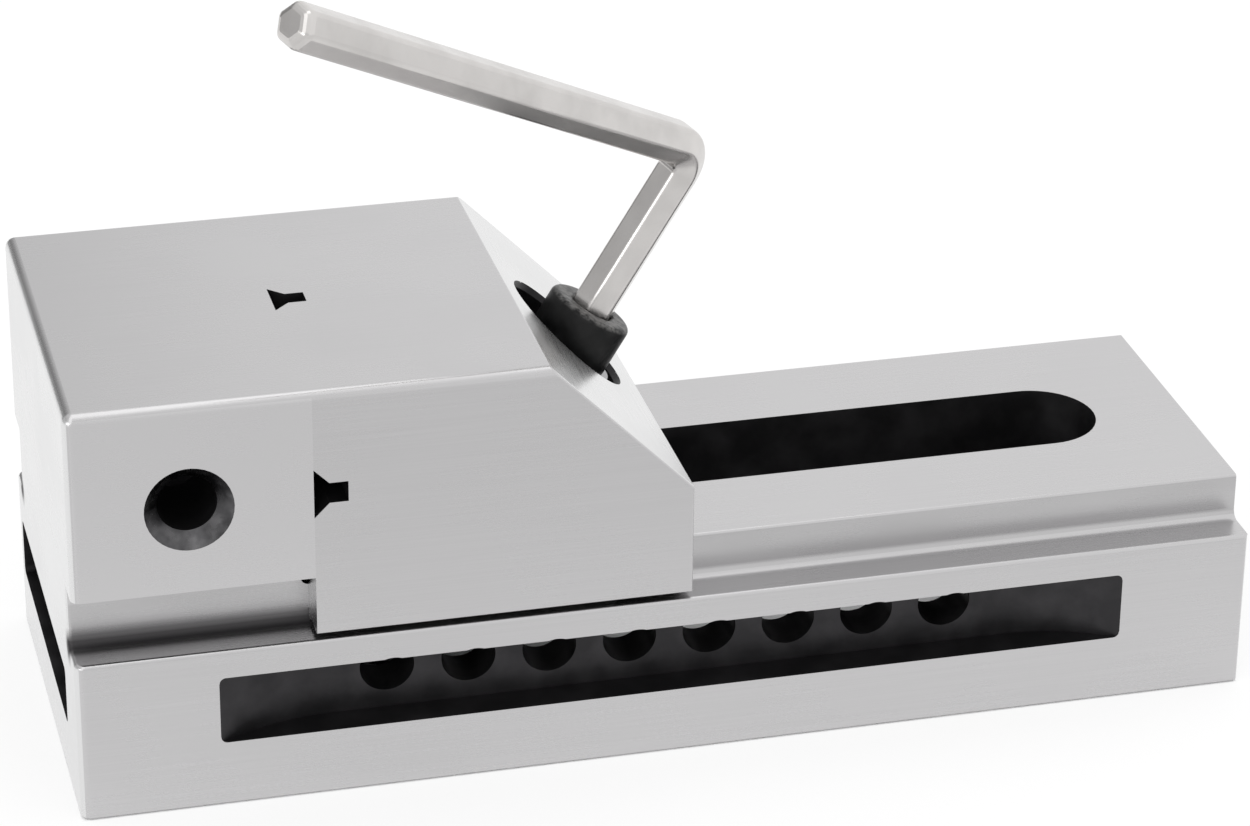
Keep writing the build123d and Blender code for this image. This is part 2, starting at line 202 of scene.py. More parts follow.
# %% [markdown]
# A surface grinder leaves fine straight lines, here along the vise's length, and across it on the
# two ends and on the slope, which shine more at this low angle, so those are painted lighter as
# painted light. The lines are less than a micron deep, so they are drawn in the colour, the
# roughness and the bump. The sides of the fixed jaw are a little lighter than the sliding jaw's, so
# the two differ a little in tone where they meet. The rail's sides are a little darker, in a cloudy
# film, and the corner under the fixed jaw is painted dark as painted shade under the overhang.

# %% Ground steel
GROUND_COLOUR = (0.592, 0.586, 0.592)
END_PAINTED_LIGHT = (0.74, 0.74, 0.742)
CORNER_PAINTED_SHADE = (0.08, 0.077, 0.08)
RAIL_SIDE_DARKER = 0.84
FIXED_SIDE_LIGHTER = 1.05
LINES_PER_METRE = 4500
LINE_STRETCH = 35
CLOUD_PER_METRE = 45
LINE_DEPTH = 0.0008 * MM
BETWEEN_LINES = 0.96
FILM_PER_METRE = (25, 160, 160)
GROUND_ROUGHNESS = (0.25, 0.31)
LINE_ROUGHNESS = 0.02
CORNER_ROUGHNESS = 0.6
CORNER_DARK, CORNER_CLEAR = 0.9 * MM, 3 * MM
SIDE_BAND = 0.3 * MM
LOOKS_ALONG_X = 0.6
LOOKS_ALONG_Y = 0.9
RAIL_FOOT = (25.25 * MM, 25 * MM)
RAIL_TOP = 32 * MM
FIXED_JAW_FACE = -53 * MM


def facing_end(tree, place):
    """1 on faces that look along X, and on the jaw's slope, and 0 on the rest."""
    facing = add_node(tree, "SeparateXYZ", Vector=place.outputs["Normal"])
    return math_node(tree, "GREATER_THAN", math_node(tree, "ABSOLUTE", facing.outputs["X"]), LOOKS_ALONG_X)


def ground_lines(tree, place, on_end):
    """Grinding lines along X on the top and sides, and along Y on the ends and the slope."""
    fine, slow = LINES_PER_METRE, LINE_STRETCH
    lengthwise = grain(tree, place.outputs["Object"], (slow, fine, fine), 3)
    crosswise = grain(tree, place.outputs["Object"], (fine, slow, fine), 3)
    chosen = add_node(tree, "Mix", Factor=on_end)
    put(tree, lengthwise, chosen.inputs["A"])
    put(tree, crosswise, chosen.inputs["B"])
    return chosen.outputs["Result"]


def beyond_rail(tree, at):
    """How far out a point lies from the rail's side, and less than zero inside the rail."""
    return math_node(tree, "SUBTRACT", math_node(tree, "ABSOLUTE", at.outputs["Y"]), RAIL_FOOT[0])


def on_rail_side(tree, place):
    """1 on the rail's two sides, and 0 elsewhere."""
    at = add_node(tree, "SeparateXYZ", Vector=place.outputs["Object"])
    off = math_node(tree, "ABSOLUTE", beyond_rail(tree, at))
    low = math_node(tree, "LESS_THAN", at.outputs["Z"], RAIL_TOP - SIDE_BAND)
    return math_node(tree, "MULTIPLY", math_node(tree, "LESS_THAN", off, SIDE_BAND), low)


def on_fixed_jaw(tree, place):
    """1 on the two sides of the fixed jaw, and 0 on everything else."""
    at = add_node(tree, "SeparateXYZ", Vector=place.outputs["Object"])
    facing = add_node(tree, "SeparateXYZ", Vector=place.outputs["Normal"])
    turned_to_y = math_node(tree, "ABSOLUTE", facing.outputs["Y"])
    on_side = math_node(tree, "GREATER_THAN", turned_to_y, LOOKS_ALONG_Y)
    behind_face = math_node(tree, "LESS_THAN", at.outputs["X"], FIXED_JAW_FACE)
    above_rail = math_node(tree, "GREATER_THAN", at.outputs["Z"], RAIL_TOP)
    return math_node(tree, "MULTIPLY", on_side, math_node(tree, "MULTIPLY", behind_face, above_rail))


def painted_shade_under_jaw(tree, place):
    """Painted shade: 1 along the rail's foot under the fixed jaw, and fading to 0 at three millimetres from
    it.
    """
    at = add_node(tree, "SeparateXYZ", Vector=place.outputs["Object"])
    out = beyond_rail(tree, at)
    up = math_node(tree, "SUBTRACT", at.outputs["Z"], RAIL_FOOT[1])
    away = math_node(tree, "SQRT", math_node(
        tree, "ADD", math_node(tree, "MULTIPLY", out, out), math_node(tree, "MULTIPLY", up, up)))
    near_foot = spread(tree, away, CORNER_DARK, CORNER_CLEAR, 1, 0)
    behind_face = math_node(tree, "LESS_THAN", at.outputs["X"], FIXED_JAW_FACE)
    return math_node(tree, "MULTIPLY", near_foot, behind_face)


def make_ground_steel():
    """Fine lines over a faint cloud, with the rail's sides darker and painted shade in the corner at its
    foot.
    """
    finish, tree, shader, place = new_finish("ground_steel", GROUND_COLOUR, 1.0, 0.28)
    on_end = facing_end(tree, place)
    lines = ground_lines(tree, place, on_end)
    cloud = grain(tree, place.outputs["Object"], (CLOUD_PER_METRE,) * 3, 4)
    corner = painted_shade_under_jaw(tree, place)
    darker = dimmed(GROUND_COLOUR, BETWEEN_LINES)
    shade = tint(tree, spread(tree, lines, 0.3, 0.7), darker, GROUND_COLOUR)
    film = grain(tree, place.outputs["Object"], FILM_PER_METRE, 3)
    # The rail's sides are made darker here, in a cloudy film.
    oil = math_node(tree, "MULTIPLY", on_rail_side(tree, place), spread(tree, film, 0.3, 0.6, 0.5, 1))
    oiled = tint(tree, oil, shade, dimmed(GROUND_COLOUR, RAIL_SIDE_DARKER))
    # The fixed jaw's sides get a colour a little lighter than the sliding jaw's.
    jawed = tint(tree, on_fixed_jaw(tree, place), oiled, dimmed(GROUND_COLOUR, FIXED_SIDE_LIGHTER))
    # Painted light: the two ends and the slope are painted lighter than the rest.
    with_lit_ends = tint(tree, on_end, jawed, END_PAINTED_LIGHT)
    # Painted shade: the corner under the fixed jaw's overhang is painted nearly black.
    put(tree, tint(tree, corner, with_lit_ends, CORNER_PAINTED_SHADE), shader.inputs["Base Color"])
    dull = spread(tree, cloud, 0.35, 0.65, *GROUND_ROUGHNESS)
    streak = spread(tree, lines, 0.3, 0.7, -LINE_ROUGHNESS, LINE_ROUGHNESS)
    streaked = math_node(tree, "ADD", dull, streak)
    dull_corner = math_node(tree, "MULTIPLY", corner, CORNER_ROUGHNESS)
    put(tree, math_node(tree, "MAXIMUM", streaked, dull_corner), shader.inputs["Roughness"])
    bump = add_node(tree, "Bump", Height=lines, Distance=LINE_DEPTH)
    put(tree, bump.outputs[0], shader.inputs["Normal"])
    return finish


ground_steel = make_ground_steel()
print("made", ground_steel.name, "with", len(ground_steel.node_tree.nodes), "nodes")

# %% [markdown]
# Only the outside is ground. The windows, the slot, the channel, the bores and the grooves are
# milled first and then hardened, and they keep the dark skin of the furnace. It is close to black,
# with faint milling marks, and it hardly shines.

# %% Hardened skin
SKIN_COLOUR = (0.032, 0.031, 0.033)
SKIN_WORN = (0.052, 0.05, 0.053)
MILL_MARKS_PER_METRE = (250, 900, 900)
MILL_MARK_DEPTH = 0.02 * MM
SKIN_BLOTCHES_PER_METRE = 180
SKIN_ROUGHNESS = (0.34, 0.46)


def make_hardened_skin():
    """Nearly black steel with blotches and shallow milling marks."""
    finish, tree, shader, place = new_finish("hardened_skin", SKIN_COLOUR, 0.85, 0.4)
    marks = grain(tree, place.outputs["Object"], MILL_MARKS_PER_METRE, 2)
    blotch = grain(tree, place.outputs["Object"], (SKIN_BLOTCHES_PER_METRE,) * 3, 4)
    shade = tint(tree, spread(tree, blotch, 0.4, 0.7), SKIN_COLOUR, SKIN_WORN)
    put(tree, shade, shader.inputs["Base Color"])
    put(tree, spread(tree, blotch, 0.3, 0.7, *SKIN_ROUGHNESS), shader.inputs["Roughness"])
    bump = add_node(tree, "Bump", Height=marks, Distance=MILL_MARK_DEPTH)
    put(tree, bump.outputs[0], shader.inputs["Normal"])
    return finish


hardened_skin = make_hardened_skin()
print("made", hardened_skin.name)

# %% [markdown]
# The mouth of the work stop hole is a cone, cut after hardening and oiled. It is smoother than the
# skin, so its far side mirrors the dark bore and its near side the light.

# %% Oiled cone
CONE_COLOUR = (0.075, 0.074, 0.077)
CONE_WORN = (0.13, 0.128, 0.132)
CONE_BLOTCHES_PER_METRE = 450
CONE_ROUGHNESS = (0.2, 0.3)


def make_oiled_cone():
    """Dark steel, smooth enough to mirror what it faces."""
    finish, tree, shader, place = new_finish("oiled_cone", CONE_COLOUR, 1.0, 0.24)
    blotch = grain(tree, place.outputs["Object"], (CONE_BLOTCHES_PER_METRE,) * 3, 3)
    shade = tint(tree, spread(tree, blotch, 0.4, 0.65), CONE_COLOUR, CONE_WORN)
    put(tree, shade, shader.inputs["Base Color"])
    put(tree, spread(tree, blotch, 0.35, 0.65, *CONE_ROUGHNESS), shader.inputs["Roughness"])
    return finish


oiled_cone = make_oiled_cone()
print("made", oiled_cone.name)

# %% [markdown]
# The washer and the nut are turned on a lathe and then oiled. Little of them shows, so a fine grain
# that is drawn out along one axis stands for the tool's lines, with a cloud of oil over it.

# %% Turned steel
TURNED_COLOUR = (0.42, 0.42, 0.43)
TURNED_OILED = 0.75
TOOL_LINES_PER_METRE = (2500, 300, 2500)
TOOL_LINE_DEPTH = 0.004 * MM
OIL_PER_METRE = 160
TURNED_ROUGHNESS = (0.26, 0.4)


def make_turned_steel():
    """Turned steel with its tool lines, under a cloud of oil."""
    finish, tree, shader, place = new_finish("turned_steel", TURNED_COLOUR, 1.0, 0.32)
    lines = grain(tree, place.outputs["Object"], TOOL_LINES_PER_METRE, 2)
    cloud = grain(tree, place.outputs["Object"], (OIL_PER_METRE,) * 3, 3)
    oiled = dimmed(TURNED_COLOUR, TURNED_OILED)
    put(tree, tint(tree, spread(tree, cloud, 0.35, 0.65), oiled, TURNED_COLOUR), shader.inputs["Base Color"])
    put(tree, spread(tree, cloud, 0.35, 0.65, *TURNED_ROUGHNESS), shader.inputs["Roughness"])
    bump = add_node(tree, "Bump", Height=lines, Distance=TOOL_LINE_DEPTH)
    put(tree, bump.outputs[0], shader.inputs["Normal"])
    return finish


turned_steel = make_turned_steel()
print("made", turned_steel.name)

# %% [markdown]
# The cap screw is blackened: a thin oxide with a soft sheen, mottled where it was held, and worn to
# grey where the key and the hand rub it, which is on top and along the rim.

# %% Black oxide
OXIDE_COLOUR = (0.003, 0.003, 0.0032)
OXIDE_MOTTLE = (0.012, 0.012, 0.0122)
RUBBED_STEEL = (0.2, 0.195, 0.19)
OXIDE_IOR = 1.3
MOTTLE_PER_METRE = 1100
MOTTLE_DEPTH = 0.01 * MM
SHEEN_PER_METRE = 300
OXIDE_ROUGHNESS = (0.3, 0.45)
RIM_REACH = 0.9 * MM
TOP_WEAR = 0.75
METAL_WHERE_RUBBED = 0.7


def make_black_oxide():
    """Black oxide, worn to bare steel in speckles on top and along the rim."""
    finish, tree, shader, place = new_finish("black_oxide", OXIDE_COLOUR, 0.0, 0.36)
    shader.inputs["IOR"].default_value = OXIDE_IOR
    mottle = grain(tree, place.outputs["Object"], (MOTTLE_PER_METRE,) * 3, 3, 0.6)
    slow = grain(tree, place.outputs["Object"], (SHEEN_PER_METRE,) * 3, 2)
    base = tint(tree, spread(tree, slow, 0.35, 0.65), OXIDE_COLOUR, OXIDE_MOTTLE)
    facing = add_node(tree, "VectorMath", operation="DOT_PRODUCT")
    tree.links.new(place.outputs["Normal"], facing.inputs[0])
    facing.inputs[1].default_value = UP_SCREW
    on_top = spread(tree, facing.outputs["Value"], 0.3, 0.95, 0, TOP_WEAR)
    worn = math_node(tree, "MAXIMUM", edge_mask(tree, RIM_REACH), on_top)
    rubbed = math_node(tree, "MULTIPLY", worn, spread(tree, mottle, 0.4, 0.6))
    put(tree, tint(tree, rubbed, base, RUBBED_STEEL), shader.inputs["Base Color"])
    put(tree, math_node(tree, "MULTIPLY", rubbed, METAL_WHERE_RUBBED), shader.inputs["Metallic"])
    put(tree, spread(tree, mottle, 0.3, 0.7, *OXIDE_ROUGHNESS), shader.inputs["Roughness"])
    bump = add_node(tree, "Bump", Height=mottle, Distance=MOTTLE_DEPTH)
    put(tree, bump.outputs[0], shader.inputs["Normal"])
    return finish


black_oxide = make_black_oxide()
print("made", black_oxide.name)

# %% [markdown]
# The key is drawn bar with a bright plate: nearly white and faintly warm, with shallow pits and a
# few dull patches from fingers.

# %% Bright plate
PLATE_COLOUR = (0.675, 0.656, 0.642)
PLATE_DULL = (0.6, 0.582, 0.569)
PATCHES_PER_METRE = 160
PITS_PER_METRE = 700
PIT_DEPTH = 0.004 * MM
PLATE_ROUGHNESS = (0.18, 0.27)


def make_bright_plate():
    """Bright plate with dull patches and shallow pits."""
    finish, tree, shader, place = new_finish("bright_key", PLATE_COLOUR, 1.0, 0.22)
    cloud = grain(tree, place.outputs["Object"], (PATCHES_PER_METRE,) * 3, 4)
    patches = tint(tree, spread(tree, cloud, 0.4, 0.7), PLATE_COLOUR, PLATE_DULL)
    put(tree, patches, shader.inputs["Base Color"])
    put(tree, spread(tree, cloud, 0.35, 0.7, *PLATE_ROUGHNESS), shader.inputs["Roughness"])
    pits = grain(tree, place.outputs["Object"], (PITS_PER_METRE,) * 3, 1)
    bump = add_node(tree, "Bump", Height=pits, Distance=PIT_DEPTH)
    put(tree, bump.outputs[0], shader.inputs["Normal"])
    return finish


bright_plate = make_bright_plate()
print("made", bright_plate.name)

# %% [markdown]
# The body and the sliding jaw keep their solids. A face is ground when it lies on the outside, on a
# rounded edge, or on the fit between rail and jaw. It keeps its dark skin when it lies inside the
# block that it was cut into, and the mouth of the work stop hole is oiled. Each face is judged by
# how far its middle lies from the block's walls.

# %% Dress the body and the sliding jaw
ON_A_WALL = 0.05 * MM
EDGE_DEPTH = 0.7 * MM
EDGE_REACH = 1.6 * MM
body_low, body_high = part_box("vise_body")
jaw_low, jaw_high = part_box("moving_jaw")
RAIL_HALF, FLANGE_TOP = RAIL_FOOT
OVERHANG = 35.1 * MM
SLOPE_LEVEL = 45 * MM  # X and Z add up to this on the slope
STOP_HOLE = Vector((-70.5 * MM, 0, 48 * MM))
CONE_RADIUS = 6.4 * MM
CONE_DEPTH = 2.2 * MM
FINISHES = (ground_steel, hardened_skin, oiled_cone)


def wall_distances(point, low, high):
    """How far a point lies inside each wall of a box."""
    return [d for i in range(3) for d in (point[i] - low[i], high[i] - point[i])]


def buried(distances):
    """True when a point lies inside all its walls, and not on the rounding between two of them."""
    nearest, second = sorted(distances)[:2]
    on_an_edge = nearest < EDGE_DEPTH and second < EDGE_REACH
    return nearest > ON_A_WALL and not on_an_edge


BODY_BLOCKS = [
    (body_low, Vector((body_high.x, body_high.y, FLANGE_TOP))),
    (Vector((body_low.x, -RAIL_HALF, body_low.z)), Vector((body_high.x, RAIL_HALF, RAIL_TOP))),
    (Vector((body_low.x, -RAIL_HALF, body_low.z)), Vector((FIXED_JAW_FACE, RAIL_HALF, body_high.z))),
    (Vector((body_low.x, body_low.y, OVERHANG)), Vector((FIXED_JAW_FACE, body_high.y, body_high.z))),
]


def dark_on_body(point):
    """The body is a flange, a rail, a neck and the fixed jaw. The jaw's overhang is left black below."""
    under_overhang = abs(point.z - OVERHANG) < ON_A_WALL and abs(point.y) > RAIL_HALF
    return under_overhang or any(buried(wall_distances(point, low, high)) for low, high in BODY_BLOCKS)


def on_stop_cone(point):
    """True on the countersink of the work stop hole, in the fixed jaw's near side."""
    from_axis = math.hypot(point.x - STOP_HOLE.x, point.z - STOP_HOLE.z)
    return from_axis < CONE_RADIUS and ON_A_WALL < point.y - body_low.y < CONE_DEPTH


def dark_on_jaw(point):
    """The sliding jaw is a block with a sloping back, and ground where it fits the rail."""
    beside_rail = point.z < RAIL_TOP and abs(abs(point.y) - RAIL_HALF) < 2 * ON_A_WALL
    over_rail = abs(point.z - RAIL_TOP) < ON_A_WALL
    under_slope = (SLOPE_LEVEL - point.x - point.z) / math.sqrt(2)
    depths = wall_distances(point, jaw_low, jaw_high) + [under_slope]
    return not (beside_rail or over_rail) and buried(depths)


def dress(name, is_dark):
    """Gives a solid its finishes, face by face."""
    mesh = solids[name].data
    mesh.materials.clear()
    for finish in FINISHES:
        mesh.materials.append(finish)
    oiled = FINISHES.index(oiled_cone)
    chosen = [oiled if on_stop_cone(face.center) else int(is_dark(face.center)) for face in mesh.polygons]
    mesh.polygons.foreach_set("material_index", chosen)
    mesh.update()
    print(name, "has", [chosen.count(i) for i in range(len(FINISHES))], "ground, dark and oiled faces")


dress("vise_body", dark_on_body)
dress("moving_jaw", dark_on_jaw)

for turned_piece in ("spherical_washer", "draw_nut"):
    solids[turned_piece].data.materials.clear()
    solids[turned_piece].data.materials.append(turned_steel)

# %% [markdown]
# The cap screw's head and plain shank are one turned shape, with a hexagon sunk in the top. Such a
# shape is a stack of rings: each ring has a height and a radius, and in the socket the radius
# follows a hexagon instead of a circle. Sixteen points a side put a point on every corner.

# %% Turn the cap screw
HEAD_RADIUS = 6.5 * MM
HEAD_HEIGHT = 8 * MM
SHANK_RADIUS = 4 * MM
SHANK_LENGTH = 55 * MM
SOCKET_FLATS = 6.1 * MM
SOCKET_DEPTH = 4.5 * MM
SOCKET_LEAD_IN = 0.5 * MM
SOCKET_RIM = 0.62 * SOCKET_FLATS
SOCKET_MOUTH = 0.59 * SOCKET_FLATS
MOUTH_DEPTH = 0.2 * MM
DRILL_POINT = 0.8 * MM
DRILL_TIP = 0.2 * MM
SHANK_POINT = 0.5 * MM
NECK_FILLET = 0.4 * MM
HEAD_RIM = 0.9 * MM
HEAD_LIP = 0.3 * MM
THREAD_LENGTH = 28 * MM
THREAD_PITCH = 1.25 * MM
THREAD_DEPTH = 0.62 * THREAD_PITCH
POINTS_ROUND = 96
SHARP_FROM = math.radians(35)


def hexagon_radius(angle, flats):
    """The distance from the middle to a hexagon's side, with its flats facing along X."""
    from_flat = (angle + math.pi / 6) % (math.pi / 3) - math.pi / 6
    return flats / 2 / math.cos(from_flat)


def ring(mesh, height, radius, flats=None):
    """A ring of vertices. With flats, it is a hexagon, rounded off where the radius is smaller."""
    angles = [2 * math.pi * i / POINTS_ROUND for i in range(POINTS_ROUND)]
    reach = [min(radius, hexagon_radius(a, flats)) if flats else radius for a in angles]
    return [mesh.verts.new((r * math.cos(a), r * math.sin(a), height)) for a, r in zip(angles, reach)]


def skin_rings(mesh, rings):
    """Joins each ring to the next with four-sided faces, and closes both ends."""
    for lower, upper in zip(rings, rings[1:]):
        for i in range(POINTS_ROUND):
            j = (i + 1) % POINTS_ROUND
            mesh.faces.new((lower[i], lower[j], upper[j], upper[i]))
    mesh.faces.new(reversed(rings[0]))
    mesh.faces.new(rings[-1])


def rounded_corner(centre_radius, centre_height, radius, start_deg, end_deg, steps=5):
    """Heights and radii along an arc, for a rounded edge on a turned shape."""
    angles = [math.radians(start_deg + (end_deg - start_deg) * i / steps) for i in range(steps + 1)]
    return [(centre_height + radius * math.sin(a), centre_radius + radius * math.cos(a)) for a in angles]


def add_piece(mesh, name, finish, body, stands_for):
    """Puts a finished mesh in the scene, riding on its body in place of a solid."""
    piece = bpy.data.objects.new(name, mesh)
    bpy.context.scene.collection.objects.link(piece)
    mesh.materials.clear()
    mesh.materials.append(finish)
    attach(piece, body)
    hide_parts(stands_for)
    return piece


def turn_cap_screw():
    """The head with its socket, and the plain part of the shank under it."""
    shank_end = -HEAD_HEIGHT - (SHANK_LENGTH - THREAD_LENGTH)
    mouth = SOCKET_FLATS + SOCKET_LEAD_IN
    outside = [(shank_end, SHANK_RADIUS - THREAD_DEPTH), (shank_end + SHANK_POINT, SHANK_RADIUS)]
    outside += [(-HEAD_HEIGHT - NECK_FILLET, SHANK_RADIUS), (-HEAD_HEIGHT, SHANK_RADIUS + NECK_FILLET)]
    outside += rounded_corner(HEAD_RADIUS - HEAD_LIP, -HEAD_HEIGHT + HEAD_LIP, HEAD_LIP, -90, 0)
    outside += rounded_corner(HEAD_RADIUS - HEAD_RIM, -HEAD_RIM, HEAD_RIM, 0, 90)
    mesh = bmesh.new()
    rings = [ring(mesh, height, radius) for height, radius in outside]
    rings.append(ring(mesh, 0, SOCKET_RIM))
    rings.append(ring(mesh, -MOUTH_DEPTH, SOCKET_MOUTH, mouth))
    rings.append(ring(mesh, -SOCKET_LEAD_IN, SOCKET_FLATS, SOCKET_FLATS))
    rings.append(ring(mesh, -SOCKET_DEPTH, SOCKET_FLATS, SOCKET_FLATS))
    rings.append(ring(mesh, -SOCKET_DEPTH - DRILL_POINT, DRILL_TIP))
    skin_rings(mesh, rings)
    mesh.transform(on_screw_axis())
    mesh.normal_update()
    for face in mesh.faces:
        face.smooth = True
    for edge in mesh.edges:
        edge.smooth = edge.calc_face_angle(0) < SHARP_FROM
    made = bpy.data.meshes.new("cap_screw_head")
    mesh.to_mesh(made)
    mesh.free()
    return made


cap_screw_head = add_piece(
    turn_cap_screw(), "cap_screw_head", black_oxide, "screw", "clamp_screw",
)
print("cap screw head has", len(cap_screw_head.data.polygons), "faces")

# %% [markdown]
# Geometry Nodes make what follows a rule or a path. Each tree here has a named input for every
# size, and it ends by making its instances real and by giving them their finish. It is run once on
# a start object, and the result is kept as a plain mesh.

# %% Helpers for Geometry Nodes


def geometry_tree(title, **sizes):
    """Starts a tree with an input for each named size, and the inlet and outlet for geometry."""
    tree = bpy.data.node_groups.new(title, "GeometryNodeTree")
    tree.interface.new_socket("Geometry", in_out="INPUT", socket_type="NodeSocketGeometry")
    tree.interface.new_socket("Geometry", in_out="OUTPUT", socket_type="NodeSocketGeometry")
    for size, value in sizes.items():
        name = size.replace("_", " ")
        socket = tree.interface.new_socket(name, in_out="INPUT", socket_type="NodeSocketFloat")
        socket.default_value = value
    tree.interface.new_socket("Finish", in_out="INPUT", socket_type="NodeSocketMaterial")
    return tree, tree.nodes.new("NodeGroupInput"), tree.nodes.new("NodeGroupOutput")


def close_tree(tree, inlet, outlet, geometry, smooth=True):
    """Ends a tree: real geometry, shading, and the finish that was asked for."""
    real = add_step(tree, "GeometryNodeRealizeInstances", Geometry=geometry)
    shaded = add_step(tree, "GeometryNodeSetShadeSmooth", Geometry=real.outputs[0])
    shaded.inputs["Shade Smooth"].default_value = smooth
    coloured = add_step(tree, "GeometryNodeSetMaterial", Geometry=shaded.outputs[0])
    tree.links.new(inlet.outputs["Finish"], coloured.inputs["Material"])
    tree.links.new(coloured.outputs[0], outlet.inputs[0])


def grow(tree, start, name, finish, **sizes):
    """Runs a tree on a start object with these sizes, and returns the result as a plain mesh."""
    bpy.context.scene.collection.objects.link(start)
    modifier = start.modifiers.new("grow", "NODES")
    modifier.node_group = tree
    ids = {item.name: item.identifier for item in tree.interface.items_tree if item.in_out == "INPUT"}
    for size, value in sizes.items():
        modifier[ids[size.replace("_", " ")]] = value
    modifier[ids["Finish"]] = finish
    depsgraph = bpy.context.evaluated_depsgraph_get()
    made = bpy.data.meshes.new_from_object(start.evaluated_get(depsgraph))
    made.name = name
    start.modifiers.remove(modifier)
    bpy.data.objects.remove(start)
    return made


# %% [markdown]
# A screw thread is a ridge that follows a helix, so it is a small profile swept along a spiral
# curve. The pitch, the radius and the length are inputs, and one number changes the thread. The
# ridge is centred on the surface of a core, and both are closed shapes. Three faults are known in
# it: the helix winds to the left, the profile lies on its side, so its crest is 3.75 mm out and not
# 4, and the thread stops a millimetre below the plain shank.

# %% Cut the thread
STEPS_A_TURN = 32
CORE_SIDES = 64
STOPS_SHORT = 1 * MM
RIDGE_FOOT, RIDGE_CREST = 0.86, 0.14


def thread_tree():
    """A core and a helical ridge, rising from Z = 0."""
    tree, inlet, outlet = geometry_tree("thread", Pitch=1.0, Root_Radius=1.0, Ridge=1.0, Length=1.0)
    size = inlet.outputs
    turns = math_node(tree, "DIVIDE", size["Length"], size["Pitch"])
    spiral = add_step(tree, "GeometryNodeCurveSpiral", Resolution=STEPS_A_TURN, Height=size["Length"])
    for name in ("Start Radius", "End Radius"):
        tree.links.new(size["Root Radius"], spiral.inputs[name])
    tree.links.new(turns, spiral.inputs["Rotations"])
    upright = add_step(tree, "GeometryNodeSetCurveNormal", mode="Z_UP", Curve=spiral.outputs[0])
    profile = add_step(tree, "GeometryNodeCurvePrimitiveQuadrilateral", mode="TRAPEZOID")
    tree.links.new(math_node(tree, "MULTIPLY", size["Pitch"], RIDGE_FOOT), profile.inputs["Bottom Width"])
    tree.links.new(math_node(tree, "MULTIPLY", size["Pitch"], RIDGE_CREST), profile.inputs["Top Width"])
    tree.links.new(size["Ridge"], profile.inputs["Height"])
    profile.inputs["Offset"].default_value = 0
    ridge = add_step(tree, "GeometryNodeCurveToMesh", Curve=upright.outputs[0], Fill_Caps=True)
    tree.links.new(profile.outputs[0], ridge.inputs["Profile Curve"])
    core = add_step(tree, "GeometryNodeMeshCylinder", Vertices=CORE_SIDES, Depth=size["Length"])
    tree.links.new(size["Root Radius"], core.inputs["Radius"])
    lift = add_step(tree, "ShaderNodeCombineXYZ")
    tree.links.new(math_node(tree, "MULTIPLY", size["Length"], 0.5), lift.inputs["Z"])
    raised = add_step(tree, "GeometryNodeTransform", Geometry=core.outputs["Mesh"])
    tree.links.new(lift.outputs[0], raised.inputs["Translation"])
    both = add_step(tree, "GeometryNodeJoinGeometry")
    tree.links.new(ridge.outputs[0], both.inputs[0])
    tree.links.new(raised.outputs[0], both.inputs[0])
    close_tree(tree, inlet, outlet, both.outputs[0], smooth=False)
    return tree


blank = bpy.data.objects.new("blank", bpy.data.meshes.new("blank"))
thread = grow(
    thread_tree(), blank, "cap_screw_thread", black_oxide,
    Pitch=THREAD_PITCH, Root_Radius=SHANK_RADIUS - THREAD_DEPTH,
    Ridge=THREAD_DEPTH, Length=THREAD_LENGTH - STOPS_SHORT,
)
thread.transform(on_screw_axis() @ Matrix.Translation((0, 0, -HEAD_HEIGHT - SHANK_LENGTH)))
cap_screw_thread = add_piece(thread, "cap_screw_thread", black_oxide, "screw", "clamp_screw")
print("thread has", len(thread.polygons), "faces")

# %% [markdown]
# The key is hexagon bar bent once. A hexagon with rounded corners swept along a bent line is just
# that, so its tree needs only a line with one corner, the bend's radius and the bar's size. The
# ends of a real key are ground round, so the line carries a radius that shrinks in a few steps
# towards each of its tips, and the tree scales the hexagon by it. One fault is known: the tree also
# bends the line at each of those steps, where it is straight, so points pile up there and most of
# the key's triangles have no area.

# %% Bend the key
KEY_FLATS = 6 * MM
KEY_CORNER_ROUNDING = 1.0 * MM
KEY_BEND_RADIUS = 4.4 * MM
KEY_RISE = 28.2 * MM
KEY_ARM = 89 * MM
TIP_CUT = 0.9 * MM
KEY_IN_SOCKET = 4 * MM
KEY_END_ROUND = 1.7 * MM
END_STEPS = 6
BEND_STEPS = 16
CORNER_STEPS = 5


def key_tree():
    """Sweeps a rounded hexagon along a line whose corner is bent."""
    tree, inlet, outlet = geometry_tree("hexagon_bar", Flats=1.0, Rounding=1.0, Bend_Radius=1.0, Turn=0.0)
    size = inlet.outputs
    bent = add_step(tree, "GeometryNodeFilletCurve", mode="POLY", Curve=inlet.outputs["Geometry"])
    bent.inputs["Count"].default_value = BEND_STEPS
    tree.links.new(size["Bend Radius"], bent.inputs["Radius"])
    bent.inputs["Limit Radius"].default_value = True
    hexagon = add_step(tree, "GeometryNodeCurvePrimitiveCircle", Resolution=6)
    tree.links.new(math_node(tree, "DIVIDE", size["Flats"], math.sqrt(3)), hexagon.inputs["Radius"])
    soft = add_step(tree, "GeometryNodeFilletCurve", mode="POLY", Curve=hexagon.outputs[0])
    soft.inputs["Count"].default_value = CORNER_STEPS
    tree.links.new(size["Rounding"], soft.inputs["Radius"])
    turn = add_step(tree, "ShaderNodeCombineXYZ")
    tree.links.new(size["Turn"], turn.inputs["Z"])
    turned = add_step(tree, "GeometryNodeTransform", Geometry=soft.outputs[0])
    tree.links.new(turn.outputs[0], turned.inputs["Rotation"])
    bar = add_step(tree, "GeometryNodeCurveToMesh", Curve=bent.outputs[0], Fill_Caps=True)
    tree.links.new(turned.outputs[0], bar.inputs["Profile Curve"])
    width = add_step(tree, "GeometryNodeInputRadius")
    tree.links.new(width.outputs[0], bar.inputs["Scale"])
    close_tree(tree, inlet, outlet, bar.outputs[0])
    return tree


